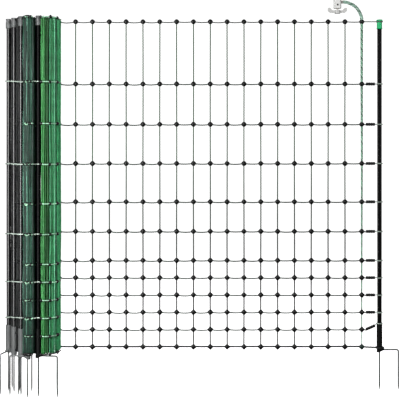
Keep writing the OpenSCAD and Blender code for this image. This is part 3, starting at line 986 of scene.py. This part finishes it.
class Bundle:
    """The meshes of the folded net: what is seen at its skin, and what is inside."""

    def __init__(self):
        self.front_struts, self.back_struts, self.inner_struts = Batch(), Batch(), Batch()
        self.outer_lines, self.inner_lines = Batch(), Batch()
        self.outer_knots, self.inner_knots = Batch(), Batch()

    def add_strut(self, path, x, y, outer):
        tint = folded_tint(x)
        if not outer:
            # Painted shade: struts inside the bundle are darkened.
            self.inner_struts.tube(path, FOLDED_STRUT_R, tint * 0.8, sides=4)
            return
        struts = self.front_struts if y < BUNDLE_Y else self.back_struts
        struts.tube(path, FOLDED_STRUT_R, tint, **FOLDED_STRUT_TWIST)

    def add_knots(self, path, y, outer, previous, was_outer):
        """Knots up a strut, each with a line to its neighbour on the knotted strut before it."""
        seen = outer and was_outer
        shift = rng.normal(0, 0.0007)
        for row in range(TOP_ROW + 1):
            z = np.clip(ROW_Z[row] + shift + rng.normal(0, 0.0006), BOTTOM_Z, TOP_Z + 0.001)
            knot = point_at(path, z)
            add_folded_knot(self.outer_knots if outer else self.inner_knots,
                            KNOT_FINE if outer else KNOT_COARSE, knot)
            if previous is not None:
                at_front = seen and max(y, previous[0, 1]) < FRONT_LINES_Y
                add_folded_line(self.outer_lines if seen else self.inner_lines, row,
                                point_at(previous, z), knot, seen, at_front)

    def add_chain(self, chain):
        """A chain of folded struts. Only those with knots are joined by lines."""
        previous, was_outer = None, False
        places = push_clear([(x, y, 0) for x, y, _ in chain], POST_CLEARANCE)
        for (x, y, _), (_, _, knotted) in zip(places, chain):
            outer = is_outer(x, y)
            path = folded_column(x, y, outer)
            self.add_strut(path, x, y, outer)
            if knotted:
                self.add_knots(path, y, outer, previous, was_outer)
                previous, was_outer = path, outer

    def build(self):
        for batch, name, material, nodes in (
                (self.front_struts, "folded_struts_outer", TWINE, ["folded_net_right"]),
                (self.back_struts, "folded_struts_back", TWINE, []),
                (self.inner_struts, "folded_struts_inner", TWINE, ["folded_net_left"]),
                (self.outer_lines, "folded_lines_outer", POLYWIRE, ["folded_net_middle"]),
                (self.inner_lines, "folded_lines_inner", POLYWIRE, []),
                (self.outer_knots, "folded_knots_outer", KNOT_PLASTIC, ["folded_net_back"]),
                (self.inner_knots, "folded_knots_inner", KNOT_PLASTIC, [])):
            batch.build(name, material, "bundle", nodes, "folded_netting")


def build_bundle():
    bundle = Bundle()
    for chain in fold_chains():
        bundle.add_chain(chain)
    bundle.build()


def arc(post, radius, a0, a1, n=10):
    """Plan points round a post, from one angle in degrees to another."""
    a = np.radians(np.linspace(a0, a1, n))
    return [(post[0] + radius * math.cos(k), post[1] + radius * math.sin(k)) for k in a]


def in_line(z, y):
    """Height at depth y that the camera sees in line with height z at TIE_FRONT_Y."""
    eye_y, eye_z = CAMERA_PLACE[1:]
    return eye_z + (z - eye_z) * (y - eye_y) / (TIE_FRONT_Y - eye_y)


def outer_tie_plan(reach):
    """Round the three outer posts, and in to the front of the folds."""
    return [*arc(POSTS[0], reach, 95, 217), *arc(POSTS[1], reach, 212, 222, 3),
            *arc(POSTS[2], reach, 217, 262, 6), (-0.5965, -0.0515), (-0.593, -0.068)]


def front_tie_plan(reach):
    """Across the notch, in front of the fifth post."""
    return [(-0.562, -0.0715), (-0.556, -0.067), *arc(POSTS[4], reach, 245, 295, 6),
            (-0.536, -0.067), (-0.53, -0.0715)]


def build_ties():
    """On every second row the net passes in front of the outer posts."""
    ties = Batch()
    reach = LINE_ROD_R + CONDUCTOR_R + 0.0003
    for row in range(2, TOP_ROW, 2):
        z = ROW_Z[row] + rng.normal(0, 0.0008)
        outer = [(x, y, in_line(z, y) - 0.0012 * math.sin(50 * x))
                 for x, y in outer_tie_plan(reach)]
        front = [(x, y, z) for x, y in front_tie_plan(reach)]
        for points in (outer, front):
            ties.tube(smooth_path(points, 3), CONDUCTOR_R, LIGHT_STRAND, ref=(0, 0, 1),
                      **FOLDED_LINE_TWIST)
    ties.build("post_ties", POLYWIRE, "bundle", [], "folded_netting")


def front_skin(x):
    """Depth of the bundle's rounded front at x."""
    t = min(1.0, abs(x - BUNDLE_X) / RIGHT_W)
    return max(BUNDLE_Y - HALF_D * (1 - t ** 4) ** 0.25, FRONT_Y)


def add_front_row(lines, knots, row, stops):
    z = ROW_Z[row]
    shift = rng.normal(0, 0.0006, len(stops))
    places = [np.array([x + d, front_skin(x) - FRONT_LIFT, z + d])
              for (x, _), d in zip(stops, shift)]
    for place, (_, knotted) in zip(places, stops):
        if knotted:
            add_folded_knot(knots, KNOT_FINE, place)
    bulge = hump(np.linspace(0, 1, 9))
    for a, b in zip(places, places[1:]):
        line = straight(a, b, 9)
        line[:, 2] -= bulge * (0.0 if row == 0 else rng.uniform(-0.001, 0.0012))
        line[:, 1] -= bulge * FRONT_BOW
        colour = BOTTOM_BLACK if row == 0 else FRONT_STRAND * rng.uniform(0.8, 1.15)
        lines.tube(line, CONDUCTOR_R, colour, ref=(0, 0, 1), **FOLDED_LINE_TWIST)


def build_front_rows():
    """Every row's line and knots across the bundle's front, laid at listed places."""
    lines, knots = Batch(), Batch()
    for row in range(TOP_ROW + 1):
        add_front_row(lines, knots, row, FRONT_ROW_LEFT)
        add_front_row(lines, knots, row, FRONT_ROW_RIGHT)
    lines.build("front_row_lines", POLYWIRE, "bundle", [], "folded_netting")
    knots.build("front_row_knots", KNOT_PLASTIC, "bundle", [], "folded_netting")


build_bundle()
build_ties()
build_front_rows()


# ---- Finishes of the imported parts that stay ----

def repaint(nodes, material):
    """Gives the CAD nodes' objects a material in place of their mesh's own."""
    for name in nodes:
        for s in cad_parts[name].material_slots:
            s.link = "OBJECT"
            s.material = material


LINE_NUMBERS = range(1, len(POSTS) + 1)
# Post 5 at the front gets the duller rod, the black foot and the spike steel with painted shade;
# the other line posts get the glossier rod, the feet with painted light and the lighter spike
# steel.
DARK_POST = 5
LIT_POSTS = [n for n in LINE_NUMBERS if n != DARK_POST]
repaint(["end_rod", f"line_rod_{DARK_POST}"], DEEP_BLACK)
repaint([f"line_rod_{n}" for n in LIT_POSTS], GLOSS_BLACK)
repaint(["end_cap"], CAP_GREEN)
repaint([f"line_cap_{n}" for n in LINE_NUMBERS], CAP_SMOKE)
repaint(["end_foot", f"line_foot_{DARK_POST}"], DARK_FOOT)
repaint([f"line_foot_{n}" for n in LIT_POSTS], LIT_GREY_FOOT)
repaint(["end_spike", f"line_spike_{DARK_POST}"], SHADED_SPIKE_STEEL)
repaint([f"line_spike_{n}" for n in LIT_POSTS], SPIKE_STEEL)
repaint(["terminal_body"], WHITE_PLASTIC)
repaint(["wing_grip"], SHADED_WHITE_PLASTIC)
repaint(["lead_ferrule", "eye_plate", "clamp_plate", "screw_shank"], BRIGHT_STEEL)


# ---- Stage and light ----

STAGE_R = 14.0
STAGE_BEND = 2.0
STAGE_DROP = 0.0003
STAGE_TURNS = 64
STAGE_GLOW = 0.95


def stage_profile():
    """Radius and height up the stage: its curve into the wall, then the dome's."""
    inner = STAGE_R - STAGE_BEND
    bend = [(inner + STAGE_BEND * math.sin(a), STAGE_BEND - STAGE_BEND * math.cos(a))
            for a in np.linspace(0.1, math.pi / 2, 10)]
    dome = [(STAGE_R * math.cos(a), STAGE_BEND + STAGE_R * math.sin(a))
            for a in np.linspace(0.15, 1.45, 12)]
    return [(inner, 0.0), *bend, *dome]


def stage_mesh():
    profile = stage_profile()
    verts = [(0, 0, -STAGE_DROP), (0, 0, STAGE_BEND + STAGE_R)]
    for r, z in profile:
        for k in range(STAGE_TURNS):
            a = 2 * math.pi * k / STAGE_TURNS
            verts.append((r * math.cos(a), r * math.sin(a), z - STAGE_DROP))
    faces = []
    for k in range(STAGE_TURNS):
        n = (k + 1) % STAGE_TURNS
        faces.append((0, 2 + k, 2 + n))
        for ring in range(len(profile) - 1):
            a = 2 + ring * STAGE_TURNS
            faces.append((a + k, a + STAGE_TURNS + k, a + STAGE_TURNS + n, a + n))
        top = 2 + (len(profile) - 1) * STAGE_TURNS
        faces.append((top + k, 1, top + n))
    mesh = bpy.data.meshes.new("stage")
    mesh.from_pydata(verts, [], faces)
    for polygon in mesh.polygons:
        polygon.use_smooth = True
    return mesh


def stage_material():
    m, tree, shader = new_material("stage")
    pale = ramp(tree, noise(tree, 2.0, 3.0, object_coordinates(tree)), [(0.3, 0.93), (0.7, 0.96)])
    tree.links.new(pale, shader.inputs["Base Color"])
    shader.inputs["Roughness"].default_value = 0.9
    shader.inputs["Emission Color"].default_value = (1, 1, 1, 1)
    shader.inputs["Emission Strength"].default_value = STAGE_GLOW
    return m


def add_stage():
    """A round pale floor that curves up into a dome, so every side has the same backdrop.

    It glows, but isn't seen in diffuse or glossy rays and takes part in no shadows.
    """
    mesh = stage_mesh()
    mesh.materials.append(stage_material())
    stage = bpy.data.objects.new("stage", mesh)
    bpy.context.scene.collection.objects.link(stage)
    stage.visible_diffuse = False
    stage.visible_glossy = False
    stage.visible_shadow = False


def add_light(name, place, target, size, power):
    """A rectangular light that faces target. size is in metres and power in watts."""
    data = bpy.data.lights.new(name, "AREA")
    data.shape = "RECTANGLE"
    data.size, data.size_y = size
    data.energy = power
    lamp = bpy.data.objects.new(name, data)
    lamp.location = place
    aim = np.array(target) - np.array(place)
    lamp.rotation_euler = Vector(aim).to_track_quat("-Z", "Y").to_euler()
    bpy.context.scene.collection.objects.link(lamp)


add_stage()
add_light("key", (-1.6, -3.2, 2.6), (0, 0, 0.7), (1.6, 1.6), 70)
add_light("strip", (-0.82, -0.85, 0.72), (-0.62, 0, 0.7), (0.4, 1.25), 15)
add_light("fill", (2.4, -2.6, 1.4), (0, 0, 0.7), (1.8, 2.2), 32)
add_light("back", (0.5, 2.0, 3.0), (0, 0, 0.8), (2.5, 1.2), 30)

WORLD_BRIGHTNESS = 0.15
world = bpy.data.worlds.new("world")
world.use_nodes = True
background = world.node_tree.nodes["Background"]
background.inputs["Color"].default_value = (1, 1, 1, 1)
background.inputs["Strength"].default_value = WORLD_BRIGHTNESS
bpy.context.scene.world = world

bpy.context.scene.view_settings.view_transform = "Standard"
